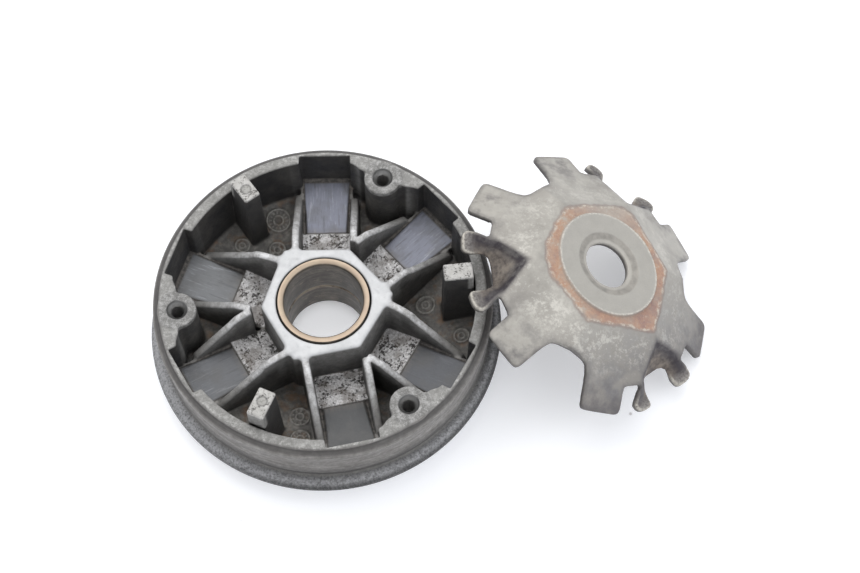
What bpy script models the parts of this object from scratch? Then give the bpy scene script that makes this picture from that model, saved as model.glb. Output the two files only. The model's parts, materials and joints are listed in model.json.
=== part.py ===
"""Drive side of a scooter belt transmission: movable sheave, bushes, ramp plate and the pieces with them.

The sheave lies belt face down, its bore axis vertical and the hub's lower face on the bench at z = 0. The
ramp plate leans on the sheave's rim. The drive boss, the six rollers and the three slide pieces lie on the
same bench in front of the sheave, in the arrangement they have inside it, moved by BENCH_Y. Every piece is
drawn about the sheave's bore axis. The finished set is then moved so that the origin is the bottom centre
of its box.
"""

import math

import bmesh
import bpy
from mathutils import Matrix, Vector

MM = 0.001
SEGMENTS = 72
WELD_DISTANCE = 0.005 * MM

# sheave
FLANGE_RADIUS = 57.5 * MM
RIM_INNER_RADIUS = 48.5 * MM
RIM_TOP = 32.2 * MM
HUB_TOP = 28.2 * MM
HUB_FLAT = 18.4 * MM
FIRST_POST_ANGLE = math.radians(6.4)
POCKET_FROM_BOSS = math.radians(24.5)
POCKET_HALF_WIDTH = 8.25 * MM
POCKET_END = 50.6 * MM
RIB_THICKNESS = 2.4 * MM
BORE_RADIUS = 15.25 * MM
COVER_BOSS_RADIUS = 6.0 * MM
COVER_BOSS_CIRCLE = 46.2 * MM
COVER_HOLE_RADIUS = 2.2 * MM
COVER_HOLE_DEPTH = 14.0 * MM
COVER_BOSS_TOP = RIM_TOP - 0.1 * MM
RIM_PAD_TOP = RIM_TOP - 0.15 * MM
POST_CIRCLE = 43.2 * MM
POST_RADIAL = 9.3 * MM
POST_TANGENTIAL = 5.6 * MM
POST_TOP = 39.4 * MM

# bushes and drive boss
BUSH_OUTER = 14.9 * MM
BUSH_INNER = 12.75 * MM
LOWER_BUSH_TOP = 12.0 * MM
BUSH_SPACING = 0.4 * MM
DRIVE_BOSS_RADIUS = 12.45 * MM
DRIVE_BOSS_BORE = 7.6 * MM
DRIVE_BOSS_LENGTH = 38.0 * MM

# ramp plate
PLATE_THICKNESS = 2.2 * MM
PLATE_HOLE = 7.8 * MM
COUNTERSINK = 11.1 * MM
PLATE_DISC = 17.9 * MM
PLATE_DISC_STEP = 0.9 * MM
RAMP_FROM_EAR = math.radians(35.95)
RAMP_START = 21.3 * MM
RAMP_SLOPE = math.tan(math.radians(26.6))
EAR_START = 27.8 * MM
EAR_FLAT = 36.1 * MM
EAR_TIP_DEPTH = 1.6 * MM
EAR_FLAT_DEPTH = 13.8 * MM
EAR_FLOOR_WIDENING = 0.5
EAR_FLOOR_HALF = 6.4 * MM
EAR_WALL_SLOPE = 1.05
HORN_SLOPE = 0.25
PLATE_CENTRE = Vector((91.16 * MM, 9.75 * MM, 31.5 * MM))
PLATE_LEAN = math.radians(27.4)
PLATE_LEAN_DIRECTION = math.radians(5.7)
PLATE_TURN = math.radians(-1.05)
FIRST_EAR_ANGLE = math.radians(70.0)

# rollers and slide pieces
BENCH_Y = -145.0 * MM
ROLLER_RADIUS = 10.0 * MM
ROLLER_LENGTH = 15.0 * MM
CORE_RADIUS = 6.6 * MM
CORE_GAP = 0.3 * MM
ROLLER_CIRCLE = 28.5 * MM
SLIDE_INNER = 34.0 * MM
SLIDE_LENGTH = 13.0 * MM
SLIDE_WIDTH = 12.0 * MM
SLIDE_HEIGHT = 11.0 * MM
SLIDE_GAP = 0.3 * MM

BOSS_ANGLES = [FIRST_POST_ANGLE + math.radians(60 + 120 * k) for k in range(3)]
POST_ANGLES = [FIRST_POST_ANGLE + math.radians(120 * k) for k in range(3)]
POCKET_ANGLES = [a + s * POCKET_FROM_BOSS for a in BOSS_ANGLES for s in (-1, 1)]


def clear_scene():
    for obj in list(bpy.data.objects):
        bpy.data.objects.remove(obj, do_unlink=True)


def make_material(name, color, metallic, roughness):
    mat = bpy.data.materials.new(name)
    mat.use_nodes = True
    bsdf = mat.node_tree.nodes["Principled BSDF"]
    bsdf.inputs["Base Color"].default_value = (*color, 1.0)
    bsdf.inputs["Metallic"].default_value = metallic
    bsdf.inputs["Roughness"].default_value = roughness
    return mat


def mesh_object(name, verts, faces, origin=(0.0, 0.0, 0.0)):
    """Closed mesh object with outward normals, its vertices given in world coordinates."""
    mesh = bpy.data.meshes.new(name)
    base = Vector(origin)
    mesh.from_pydata([tuple(Vector(v) - base) for v in verts], [], faces)
    bm = bmesh.new()
    bm.from_mesh(mesh)
    bmesh.ops.recalc_face_normals(bm, faces=bm.faces)
    bm.to_mesh(mesh)
    bm.free()
    obj = bpy.data.objects.new(name, mesh)
    obj.location = base
    bpy.context.scene.collection.objects.link(obj)
    return obj


def finish(obj, mat, angle=30.0):
    obj.data.materials.clear()
    obj.data.materials.append(mat)
    obj.data.shade_smooth()
    obj.data.set_sharp_from_angle(angle=math.radians(angle))


def ring(name, profile, segments=SEGMENTS, centre=(0.0, 0.0, 0.0)):
    """Solid of revolution about a vertical axis; the profile is a closed loop of (radius, z) off the axis."""
    count = len(profile)
    verts = []
    faces = []
    for i in range(segments):
        a = 2.0 * math.pi * i / segments
        for r, z in profile:
            verts.append((centre[0] + r * math.cos(a), centre[1] + r * math.sin(a), centre[2] + z))
    for i in range(segments):
        j = (i + 1) % segments
        for k in range(count):
            m = (k + 1) % count
            faces.append((i * count + k, j * count + k, j * count + m, i * count + m))
    return mesh_object(name, verts, faces, centre)


def prism(name, outline, low, high, place):
    """Extrudes a flat outline between two levels; place maps (a, b, level) to world coordinates."""
    count = len(outline)
    verts = [place(a, b, low) for a, b in outline] + [place(a, b, high) for a, b in outline]
    faces = [tuple(range(count)), tuple(range(2 * count - 1, count - 1, -1))]
    for i in range(count):
        j = (i + 1) % count
        faces.append((i, j, count + j, count + i))
    return mesh_object(name, verts, faces)


def upright(angle):
    """Placement for outlines drawn in a horizontal plane, turned by an angle about the bore."""
    c, s = math.cos(angle), math.sin(angle)
    return lambda u, v, z: (c * u - s * v, s * u + c * v, z)


def sideways(angle):
    """Placement for outlines drawn in a vertical radial plane and extruded across it."""
    c, s = math.cos(angle), math.sin(angle)
    return lambda u, z, v: (c * u - s * v, s * u + c * v, z)


def combine(target, tool, operation):
    """Applies an exact boolean and removes the tool."""
    tool.hide_render = True
    tool.display_type = "WIRE"
    mod = target.modifiers.new(operation.lower(), "BOOLEAN")
    mod.operation = operation
    mod.solver = "EXACT"
    mod.object = tool
    graph = bpy.context.evaluated_depsgraph_get()
    mesh = bpy.data.meshes.new_from_object(target.evaluated_get(graph))
    old = target.data
    target.modifiers.clear()
    target.data = mesh
    mesh.name = old.name
    bpy.data.meshes.remove(old)
    bpy.data.objects.remove(tool, do_unlink=True)


def weld(obj):
    """Merges corners that booleans left within a few nanometres to micrometres of each other."""
    bm = bmesh.new()
    bm.from_mesh(obj.data)
    bmesh.ops.remove_doubles(bm, verts=bm.verts, dist=WELD_DISTANCE)
    bmesh.ops.dissolve_degenerate(bm, edges=bm.edges, dist=WELD_DISTANCE)
    bm.to_mesh(obj.data)
    bm.free()


def scaled(points):
    return [(a * MM, b * MM) for a, b in points]


def cup():
    """Belt cone, flange, rim wall and the deep floor inside the rim."""
    profile = scaled([(10.0, 0.0), (20.0, 0.0), (57.0, 8.6)])
    profile += [(FLANGE_RADIUS, 9.2 * MM), (FLANGE_RADIUS, 10.2 * MM)]
    profile += scaled([(54.8, 12.4), (53.4, 12.6), (53.3, 14.0), (53.0, 18.0), (53.0, 22.0)])
    profile += scaled([(53.6, 26.0), (54.2, 28.2), (54.2, 29.9), (53.2, 30.7)])
    profile += [(53.0 * MM, RIM_TOP), (RIM_INNER_RADIUS, RIM_TOP), (RIM_INNER_RADIUS, 10.9 * MM)]
    profile += scaled([(10.0, 3.9)])
    return ring("movable_sheave", profile)


def add_hub(body):
    outline = []
    for post, boss in zip(POST_ANGLES, BOSS_ANGLES):
        for angle, spread in ((post, math.radians(60) - POCKET_FROM_BOSS), (boss, POCKET_FROM_BOSS)):
            r = HUB_FLAT / math.cos(spread)
            outline.append((r * math.cos(angle), r * math.sin(angle)))
    combine(body, prism("hub", outline, 1.5 * MM, HUB_TOP, upright(0.0)), "UNION")


def cut_pocket_ends(body):
    for angle in POCKET_ANGLES:
        w = POCKET_HALF_WIDTH
        outline = [(44.0 * MM, -w), (POCKET_END, -w), (POCKET_END, w), (44.0 * MM, w)]
        combine(body, prism("pocket_end", outline, 12.0 * MM, 40.0 * MM, upright(angle)), "DIFFERENCE")


def add_ramps(body):
    profile = scaled([(15.0, 1.6), (51.2, 9.0), (51.2, 16.6), (31.2, 14.0), (30.8, 14.4)])
    profile += scaled([(20.0, 11.2), (15.0, 11.1)])
    for index, angle in enumerate(POCKET_ANGLES):
        w = POCKET_HALF_WIDTH + (0.7 if index % 2 == 0 else 0.5) * MM
        combine(body, prism("ramp", profile, -w, w, sideways(angle)), "UNION")


def add_ribs(body):
    post_side = scaled([(16.5, 3.0), (46.5, 9.2), (46.5, 13.0), (45.5, 14.8), (29.0, 25.0)])
    post_side += scaled([(27.0, 27.0), (16.5, 28.0)])
    boss_side = scaled([(21.5, 3.4), (43.0, 8.6), (43.0, 16.4), (29.0, 24.9), (27.0, 26.6), (21.5, 27.2)])
    for index, angle in enumerate(POCKET_ANGLES):
        toward_boss = 1 if index % 2 == 0 else -1
        for side, profile in ((toward_boss, boss_side), (-toward_boss, post_side)):
            near = side * POCKET_HALF_WIDTH
            far = side * (POCKET_HALF_WIDTH + RIB_THICKNESS - (0.06 * MM if index % 2 else 0.0))
            combine(body, prism("rib", profile, near, far, sideways(angle)), "UNION")


def add_cover_bosses(body):
    for angle in BOSS_ANGLES:
        centre = (COVER_BOSS_CIRCLE * math.cos(angle), COVER_BOSS_CIRCLE * math.sin(angle), 0.0)
        arc = [(46.6 * MM, angle + math.radians(d)) for d in (-12, -8, -4, 0, 4, 8, 12)]
        arc += [(51.0 * MM, angle + math.radians(d)) for d in (12, 8, 4, 0, -4, -8, -12)]
        pad = [(r * math.cos(a), r * math.sin(a)) for r, a in arc]
        combine(body, prism("rim_pad", pad, 8.6 * MM, RIM_PAD_TOP, upright(0.0)), "UNION")
        disc = [(centre[0] + COVER_BOSS_RADIUS * math.cos(2 * math.pi * i / 24),
                 centre[1] + COVER_BOSS_RADIUS * math.sin(2 * math.pi * i / 24)) for i in range(24)]
        combine(body, prism("cover_boss", disc, 8.0 * MM, COVER_BOSS_TOP, upright(0.0)), "UNION")
        combine(body, drill(centre, COVER_BOSS_TOP), "DIFFERENCE")


def drill(centre, top):
    """Countersunk blind hole, closed at both ends by fans."""
    levels = [(3.3 * MM, top + 2.0 * MM), (3.3 * MM, top - 0.2 * MM), (COVER_HOLE_RADIUS, top - 1.6 * MM)]
    levels += [(COVER_HOLE_RADIUS, top - COVER_HOLE_DEPTH)]
    sides = 20
    verts = []
    faces = []
    for r, z in levels:
        for i in range(sides):
            a = 2.0 * math.pi * i / sides
            verts.append((centre[0] + r * math.cos(a), centre[1] + r * math.sin(a), z))
    for k in range(len(levels) - 1):
        for i in range(sides):
            j = (i + 1) % sides
            faces.append((k * sides + i, k * sides + j, (k + 1) * sides + j, (k + 1) * sides + i))
    faces.append(tuple(range(sides)))
    faces.append(tuple(range(len(verts) - sides, len(verts))))
    return mesh_object("cover_hole", verts, faces)


def add_posts(body):
    for angle in POST_ANGLES:
        u0 = POST_CIRCLE - POST_RADIAL / 2
        u1 = POST_CIRCLE + POST_RADIAL / 2
        w = POST_TANGENTIAL / 2
        outline = [(u0, -w), (u1, -w), (u1, w), (u0, w)]
        combine(body, prism("post", outline, 7.6 * MM, POST_TOP, upright(angle)), "UNION")


def cut_bore(body):
    circle = [(BORE_RADIUS * math.cos(2 * math.pi * i / SEGMENTS),
               BORE_RADIUS * math.sin(2 * math.pi * i / SEGMENTS)) for i in range(SEGMENTS)]
    combine(body, prism("bore", circle, -5.0 * MM, 40.0 * MM, upright(0.0)), "DIFFERENCE")


def build_sheave(mat):
    body = cup()
    cut_pocket_ends(body)
    add_ramps(body)
    add_ribs(body)
    add_hub(body)
    add_cover_bosses(body)
    add_posts(body)
    cut_bore(body)
    weld(body)
    finish(body, mat)


def build_bushes(mats):
    low = [(BUSH_INNER, 0.0), (BUSH_OUTER, 0.0)]
    low += [(BUSH_OUTER, LOWER_BUSH_TOP), (BUSH_INNER, LOWER_BUSH_TOP)]
    start = LOWER_BUSH_TOP + BUSH_SPACING
    top = HUB_TOP + 0.1 * MM
    high = [(BUSH_INNER, start), (BUSH_OUTER, start), (BUSH_OUTER, top), (BUSH_INNER, top)]
    finish(ring("lower_bush", low), mats["lower_bush"])
    finish(ring("upper_bush", high), mats["upper_bush"])


def build_drive_boss(mat):
    length = DRIVE_BOSS_LENGTH
    bevel = 0.8 * MM
    r = DRIVE_BOSS_RADIUS
    profile = [(DRIVE_BOSS_BORE, 0.0), (r - bevel, 0.0), (r, bevel), (r, length - bevel)]
    profile += [(r - bevel, length), (DRIVE_BOSS_BORE, length)]
    finish(ring("drive_boss", profile, 48, (0.0, BENCH_Y, 0.0)), mat)


# Half of the plate's outline from an ear axis (0 degrees) to the notch between two ramps (60 degrees):
# angle in degrees and radius in millimetres of each corner.
HALF_OUTLINE = [(0.0, 36.2), (5.2, 36.4), (8.3, 38.2), (9.0, 41.0), (9.3, 44.6), (10.6, 45.4), (14.0, 45.6)]
HALF_OUTLINE += [(17.0, 45.3), (18.5, 43.6), (19.0, 41.0), (19.6, 38.5), (24.2, 38.5), (25.3, 41.0), (27.0, 46.4)]
HALF_OUTLINE += [(31.0, 46.25), (35.95, 46.1), (40.9, 46.25), (44.9, 46.4), (46.4, 40.4), (47.1, 37.4)]
HALF_OUTLINE += [(48.6, 35.2), (52.0, 33.7), (60.0, 33.2)]


def plate_outline():
    """Whole outline as (angle, radius, signed angle from the nearest ear axis)."""
    whole = []
    for k in range(3):
        ear = FIRST_EAR_ANGLE + math.radians(120 * k)
        for degrees, radius in reversed(HALF_OUTLINE[1:]):
            whole.append((ear - math.radians(degrees), radius * MM, -math.radians(degrees)))
        for degrees, radius in HALF_OUTLINE[:-1]:
            whole.append((ear + math.radians(degrees), radius * MM, math.radians(degrees)))
    return whole


def ear_height(u, v):
    """Height of an ear's channel at u along its axis and v to the side of it."""
    reach = min(1.0, (u - EAR_START) / (EAR_FLAT - EAR_START))
    floor = -EAR_TIP_DEPTH - (EAR_FLAT_DEPTH - EAR_TIP_DEPTH) * reach
    floor -= 0.04 * max(0.0, u - EAR_FLAT)
    half = min(EAR_FLOOR_HALF, EAR_FLOOR_WIDENING * (u - EAR_START))
    open_out = min(1.0, max(0.0, (u - EAR_FLAT - 1.4 * MM) / (4.0 * MM)))
    slope = EAR_WALL_SLOPE + (HORN_SLOPE - EAR_WALL_SLOPE) * open_out
    return floor + slope * max(0.0, v - half)


def plate_height(radius, from_ear):
    """Height of the plate's upper face above its disc."""
    if radius < COUNTERSINK:
        return -1.0 * MM * (COUNTERSINK - radius) / (COUNTERSINK - PLATE_HOLE)
    if radius <= PLATE_DISC:
        return 0.0
    along = radius * math.cos(abs(from_ear) - RAMP_FROM_EAR)
    height = -PLATE_DISC_STEP - max(0.0, along - RAMP_START) * RAMP_SLOPE
    u = radius * math.cos(from_ear)
    v = radius * abs(math.sin(from_ear))
    if u > EAR_START and abs(from_ear) < math.radians(25):
        height = min(height, ear_height(u, v))
    return height


def plate_matrix():
    """Turns the plate's own axes (z along its bore) into its leaning attitude."""
    axis = Vector((-math.sin(PLATE_LEAN_DIRECTION), math.cos(PLATE_LEAN_DIRECTION), 0.0))
    normal = Matrix.Rotation(PLATE_LEAN, 3, axis) @ Vector((0.0, 0.0, 1.0))
    x = Vector((1.0, 0.0, 0.0)) - normal * normal.x
    x.normalize()
    y = normal.cross(x)
    lean = Matrix((x, y, normal)).transposed()
    return lean @ Matrix.Rotation(PLATE_TURN, 3, "Z")


def build_ramp_plate(mat):
    outline = plate_outline()
    count = len(outline)
    rows = []
    for angle, radius, from_ear in outline:
        edge = RAMP_START / math.cos(abs(from_ear) - RAMP_FROM_EAR)
        radii = [PLATE_HOLE, COUNTERSINK, PLATE_DISC, PLATE_DISC + 0.5 * MM, edge]
        radii += [edge + (radius - edge) * f for f in (0.22, 0.48, 0.74, 1.0)]
        rows.append([(r * math.cos(angle), r * math.sin(angle), plate_height(r, from_ear)) for r in radii])
    rings = len(rows[0])
    verts = [Vector(p) for row in rows for p in row]
    verts += [Vector((x, y, z - PLATE_THICKNESS)) for row in rows for x, y, z in row]
    under = count * rings
    faces = []
    for i in range(count):
        j = (i + 1) % count
        for k in range(rings - 1):
            a, b, c, d = i * rings + k, i * rings + k + 1, j * rings + k + 1, j * rings + k
            faces.append((a, b, c))
            faces.append((a, c, d))
            faces.append((under + c, under + b, under + a))
            faces.append((under + d, under + c, under + a))
        inner, outer = i * rings, i * rings + rings - 1
        inner_next, outer_next = j * rings, j * rings + rings - 1
        faces.append((inner, inner_next, under + inner_next, under + inner))
        faces.append((outer, under + outer, under + outer_next, outer_next))
    turn = plate_matrix()
    placed = [PLATE_CENTRE + turn @ v for v in verts]
    drop = min(v.z for v in placed)
    centre = PLATE_CENTRE - Vector((0.0, 0.0, drop))
    obj = mesh_object("ramp_plate", [v - Vector((0.0, 0.0, drop)) for v in placed], faces, centre)
    finish(obj, mat)


def build_rollers(mats):
    """Each roller lies on its side with its axis across its pocket direction."""
    half = ROLLER_LENGTH / 2
    tyre_hole = CORE_RADIUS + CORE_GAP
    for index, angle in enumerate(POCKET_ANGLES):
        x, y = ROLLER_CIRCLE * math.cos(angle), ROLLER_CIRCLE * math.sin(angle)
        centre = Vector((x, BENCH_Y + y, ROLLER_RADIUS))
        lay = Matrix.Rotation(angle, 4, "Z") @ Matrix.Rotation(math.pi / 2, 4, "X")
        bevel = 0.7 * MM
        r = ROLLER_RADIUS
        sleeve = [(tyre_hole, -half), (r - bevel, -half), (r, -half + bevel), (r, half - bevel)]
        sleeve += [(r - bevel, half), (tyre_hole, half)]
        core = [(2.6 * MM, -half + 0.4 * MM), (CORE_RADIUS, -half + 0.4 * MM), (CORE_RADIUS, half - 0.4 * MM)]
        core += [(2.6 * MM, half - 0.4 * MM)]
        for label, profile, sides in (("sleeve", sleeve, 26), ("core", core, 18)):
            name = f"roller_{index + 1}_{label}"
            obj = ring(name, profile, sides)
            obj.data.transform(lay)
            obj.location = centre
            finish(obj, mats[name])


def build_slide_pieces(mats):
    """Shoes with a slot open outward for the post and a groove across the inner end for the plate's ear."""
    slot = POST_TANGENTIAL / 2 + SLIDE_GAP
    w = SLIDE_WIDTH / 2
    corner = 1.5 * MM
    inner = SLIDE_INNER
    back = inner + 2.6 * MM
    outer = inner + SLIDE_LENGTH
    outline = [(inner, -w + corner), (inner + corner, -w), (outer, -w), (outer, -slot), (back, -slot)]
    outline += [(back, slot), (outer, slot), (outer, w), (inner + corner, w), (inner, w - corner)]
    cut = [(inner - 1.0 * MM, -2 * w), (inner + 1.2 * MM, -2 * w)]
    cut += [(inner + 1.2 * MM, 2 * w), (inner - 1.0 * MM, 2 * w)]
    for index, angle in enumerate(POST_ANGLES):
        name = f"slide_piece_{index + 1}"
        turn = upright(angle)
        obj = prism(name, outline, 0.0, SLIDE_HEIGHT, turn)
        combine(obj, prism("groove", cut, 4.2 * MM, 6.8 * MM, turn), "DIFFERENCE")
        post = Vector(turn(POST_CIRCLE, 0.0, 0.0))
        obj.data.transform(Matrix.Translation(-post))
        obj.location = post + Vector((0.0, BENCH_Y, 0.0))
        finish(obj, mats[name])


def centre_the_set():
    """Moves every piece so that the origin is the bottom centre of the whole set's box."""
    bpy.context.view_layer.update()
    corners = [o.matrix_world @ v.co for o in bpy.data.objects for v in o.data.vertices]
    low = [min(c[i] for c in corners) for i in range(3)]
    high = [max(c[i] for c in corners) for i in range(3)]
    move = Vector((-(low[0] + high[0]) / 2, -(low[1] + high[1]) / 2, -low[2]))
    for obj in bpy.data.objects:
        obj.location += move


def main():
    clear_scene()
    mats = {}
    look = {"movable_sheave": ((0.42, 0.42, 0.42), 1.0, 0.45)}
    look["upper_bush"] = ((0.75, 0.52, 0.32), 1.0, 0.35)
    look["lower_bush"] = ((0.70, 0.48, 0.30), 1.0, 0.4)
    look["ramp_plate"] = ((0.40, 0.37, 0.34), 1.0, 0.5)
    look["drive_boss"] = ((0.55, 0.55, 0.56), 1.0, 0.25)
    for i in range(1, 7):
        look[f"roller_{i}_sleeve"] = ((0.05, 0.05, 0.055), 0.0, 0.5)
        look[f"roller_{i}_core"] = ((0.66, 0.52, 0.28), 1.0, 0.35)
    for i in range(1, 4):
        look[f"slide_piece_{i}"] = ((0.08, 0.07, 0.06), 0.0, 0.55)
    for name, (color, metallic, roughness) in look.items():
        mats[name] = make_material(name, color, metallic, roughness)
    build_sheave(mats["movable_sheave"])
    build_bushes(mats)
    build_drive_boss(mats["drive_boss"])
    build_ramp_plate(mats["ramp_plate"])
    build_rollers(mats)
    build_slide_pieces(mats)
    centre_the_set()


main()
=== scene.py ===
"""Looks of the belt-drive sheave set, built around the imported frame.

Detailed meshes, procedural materials, a plain pale bench, soft light and the camera. Lengths in the shape
functions are millimetres.
"""

import json
import math
import bpy
import numpy as np
from mathutils import Matrix, Vector


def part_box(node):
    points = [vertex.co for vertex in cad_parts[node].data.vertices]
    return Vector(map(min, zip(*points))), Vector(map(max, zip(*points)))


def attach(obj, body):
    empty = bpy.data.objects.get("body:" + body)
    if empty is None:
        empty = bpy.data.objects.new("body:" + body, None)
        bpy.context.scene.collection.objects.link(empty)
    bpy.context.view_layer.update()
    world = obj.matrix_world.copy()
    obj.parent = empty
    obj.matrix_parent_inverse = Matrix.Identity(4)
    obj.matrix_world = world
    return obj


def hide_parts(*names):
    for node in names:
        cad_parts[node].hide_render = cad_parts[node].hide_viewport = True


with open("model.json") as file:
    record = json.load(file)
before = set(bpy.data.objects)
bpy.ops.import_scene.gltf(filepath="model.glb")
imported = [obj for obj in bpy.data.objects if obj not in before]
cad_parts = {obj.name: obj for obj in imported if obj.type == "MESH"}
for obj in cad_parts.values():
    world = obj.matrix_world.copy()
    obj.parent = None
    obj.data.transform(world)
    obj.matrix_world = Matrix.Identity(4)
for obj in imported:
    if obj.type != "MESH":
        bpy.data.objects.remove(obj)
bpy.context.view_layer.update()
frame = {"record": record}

MM = 0.001

# -------- sheave dimensions, as in the CAD
POST0 = 6.4                 # direction of the first post; posts and cover bosses alternate every 60 degrees
BOSS_TO_POCKET = 24.5
POCKET_HALF = 8.25
POCKET_END = 50.6
RIB_HALF = 1.2
RIB_LINE = POCKET_HALF + RIB_HALF
TRACK_START = 31.0          # where the roller's worn track begins, out from the bore
RIM_INNER = 48.5
RIM_TOP = 32.2
HUB_TOP = 28.2
HUB_FLAT = 18.4
BORE = 15.25
POST_R = 43.2
POST_TOP = 39.4
POST_HALF_SIZE = (4.65, 2.8)
BOSS_R = 46.2
BOSS_RADIUS = 6.0
LARGEST_RADIUS = 57.48
# how pale and how blue each of the six roller tracks is painted, as painted reflection: paler and bluer at
# the back, darker at the front
TRACK_SHADE = [0.8, 0.75, 0.66, 0.36, 0.04, 0.1]
TRACK_BLUE = [0.9, 1.0, 0.25, 0.35, 0.15, 0.5]

rad = math.radians


def box_centre(node):
    lo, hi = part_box(node)
    return Vector([(a + b) / 2 / MM for a, b in zip(lo, hi)])


def joint(name):
    return next(j for j in frame["record"]["behaviour"]["joints"] if j["name"] == name)


# the bore axis of the sheave, which everything here is placed from, and that of the drive boss beside it
BORE_AXIS = box_centre("movable_sheave")
BORE_AXIS.z = 0.0


# -------- distance-field helpers
def smin(a, b, k):
    h = np.clip(0.5 + 0.5 * (b - a) / k, 0.0, 1.0)
    return b + (a - b) * h - k * h * (1.0 - h)


def smax(a, b, k):
    return -smin(-a, -b, k)


def box2(x, y, hx, hy, rnd):
    qx = np.abs(x) - (hx - rnd)
    qy = np.abs(y) - (hy - rnd)
    return np.hypot(np.maximum(qx, 0), np.maximum(qy, 0)) + np.minimum(np.maximum(qx, qy), 0) - rnd


def polygon_distance(px, py, poly):
    """Signed distance to a closed polygon, negative inside."""
    nearest = np.full(px.shape, 1e9)
    inside = np.zeros(px.shape, bool)
    for (ax, ay), (bx, by) in zip(poly, poly[1:] + poly[:1]):
        ex, ey = bx - ax, by - ay
        wx, wy = px - ax, py - ay
        t = np.clip((wx * ex + wy * ey) / max(ex * ex + ey * ey, 1e-12), 0, 1)
        nearest = np.minimum(nearest, (wx - ex * t) ** 2 + (wy - ey * t) ** 2)
        if ey != 0:
            inside ^= ((ay > py) != (by > py)) & (px < ex * wy / ey + ax)
    return np.where(inside, -1, 1) * np.sqrt(nearest)


def value_noise(x, y, z, scale, seed):
    """Smooth noise in [-1, 1] from a seeded lattice; x, y and z broadcast together."""
    rng = np.random.default_rng(seed)
    n = 32
    lattice = rng.uniform(-1, 1, (n, n, n)).astype(np.float32)

    def split(v):
        v = np.asarray(v, np.float32) / scale + 1000.0
        i = np.floor(v).astype(np.int32)
        f = v - i
        return i % n, (i + 1) % n, f * f * (3 - 2 * f)

    def mix(a, b, t):
        return a + (b - a) * t

    def along_x(y, z):
        return mix(lattice[x0, y, z], lattice[x1, y, z], fx)

    (x0, x1, fx), (y0, y1, fy), (z0, z1, fz) = split(x), split(y), split(z)
    return mix(mix(along_x(y0, z0), along_x(y1, z0), fy), mix(along_x(y0, z1), along_x(y1, z1), fy), fz)


def surface_nets(field, origin, step):
    """Quads of the zero surface of a sampled field; returns vertices (mm) and quads."""
    inside = field < 0
    nx, ny, nz = field.shape
    corners = [(dx, dy, dz) for dx in (0, 1) for dy in (0, 1) for dz in (0, 1)]
    total = np.zeros((nx - 1, ny - 1, nz - 1), np.int8)
    for dx, dy, dz in corners:
        total += inside[dx:nx - 1 + dx, dy:ny - 1 + dy, dz:nz - 1 + dz]
    active = (total > 0) & (total < len(corners))
    cells = np.argwhere(active).astype(np.int32)
    index = np.full(active.shape, -1, np.int32)
    index[active] = np.arange(len(cells), dtype=np.int32)
    value = {corner: field[tuple((cells + corner).T)] for corner in corners}
    # each cell's vertex is the mean of the points where the surface crosses the cell's edges
    total_place = np.zeros((len(cells), 3))
    crossings = np.zeros(len(cells))
    for near in corners:
        for axis in (k for k in range(3) if near[k] == 0):
            far = tuple(1 if k == axis else near[k] for k in range(3))
            hit = (value[near] < 0) != (value[far] < 0)
            t = np.where(hit, value[near] / np.where(hit, value[near] - value[far], 1.0), 0.0)
            for k in range(3):
                total_place[:, k] += np.where(hit, near[k] + (t if k == axis else 0.0), 0.0)
            crossings += hit
    verts = cells + total_place / crossings[:, None]
    quads = []
    for axis in range(3):
        p, q = (axis + 1) % 3, (axis + 2) % 3
        cross = np.argwhere(np.diff(inside, axis=axis))
        place, last = cross[:, [p, q]], np.array(field.shape)[[p, q]] - 1
        cross = cross[((place > 0) & (place < last)).all(axis=1)]

        def cell(dp, dq):
            at = cross.copy()
            at[:, p] += dp
            at[:, q] += dq
            return index[tuple(at.T)]

        quad = np.stack([cell(-1, -1), cell(0, -1), cell(0, 0), cell(-1, 0)], 1)
        flip = ~inside[tuple(cross.T)]
        quad[flip] = quad[flip][:, ::-1]
        quads.append(quad)
    return verts * step + np.asarray(origin), np.concatenate(quads)


def relax(verts, quads, rounds, weight):
    """Light Laplacian smoothing along mesh edges."""
    e = np.concatenate([quads[:, [0, 1]], quads[:, [1, 2]], quads[:, [2, 3]], quads[:, [3, 0]]])
    a, b = e[:, 0], e[:, 1]
    n = len(verts)
    deg = np.bincount(a, minlength=n) + np.bincount(b, minlength=n)
    for _ in range(rounds):
        total = [np.bincount(a, verts[b, k], n) + np.bincount(b, verts[a, k], n) for k in range(3)]
        mean = np.stack(total, 1)
        verts = verts + weight * (mean / deg[:, None] - verts)
    return verts


def link(name, data):
    obj = bpy.data.objects.new(name, data)
    bpy.context.scene.collection.objects.link(obj)
    return obj


def quad_mesh(name, verts, quads):
    mesh = bpy.data.meshes.new(name)
    mesh.vertices.add(len(verts))
    mesh.vertices.foreach_set("co", (np.asarray(verts, np.float32) * MM).ravel())
    mesh.loops.add(quads.size)
    mesh.loops.foreach_set("vertex_index", quads.astype(np.int32).ravel())
    mesh.polygons.add(len(quads))
    mesh.polygons.foreach_set("loop_start", np.arange(0, quads.size, 4, dtype=np.int32))
    mesh.update(calc_edges=True)
    mesh.validate()
    mesh.shade_smooth()
    return link(name, mesh)


def paint(obj, **masks):
    """Stores numbers per vertex, which the materials read by name."""
    for name, values in masks.items():
        layer = obj.data.attributes.new(name, "FLOAT", "POINT")
        layer.data.foreach_set("value", np.asarray(values, np.float32))


# -------- sheave casting
# the turned outside, as radius and height from the foot of the bore over the belt face to the rim
OUTER = [(0, 0), (20.0, 0), (57.0, 8.6), (57.5, 9.2), (57.5, 10.1), (55.4, 12.1), (54.2, 12.5), (53.3, 12.9)]
OUTER += [(53.2, 14.3), (53.6, 15.2), (53.1, 18.5), (53.0, 22.0), (53.4, 25.5), (54.1, 27.8), (54.2, 29.6)]
OUTER += [(53.9, 30.3), (53.3, 30.8), (52.4, 30.9), (52.2, 31.4), (52.0, 32.0), (51.6, 32.2), (0, 32.2)]


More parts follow.
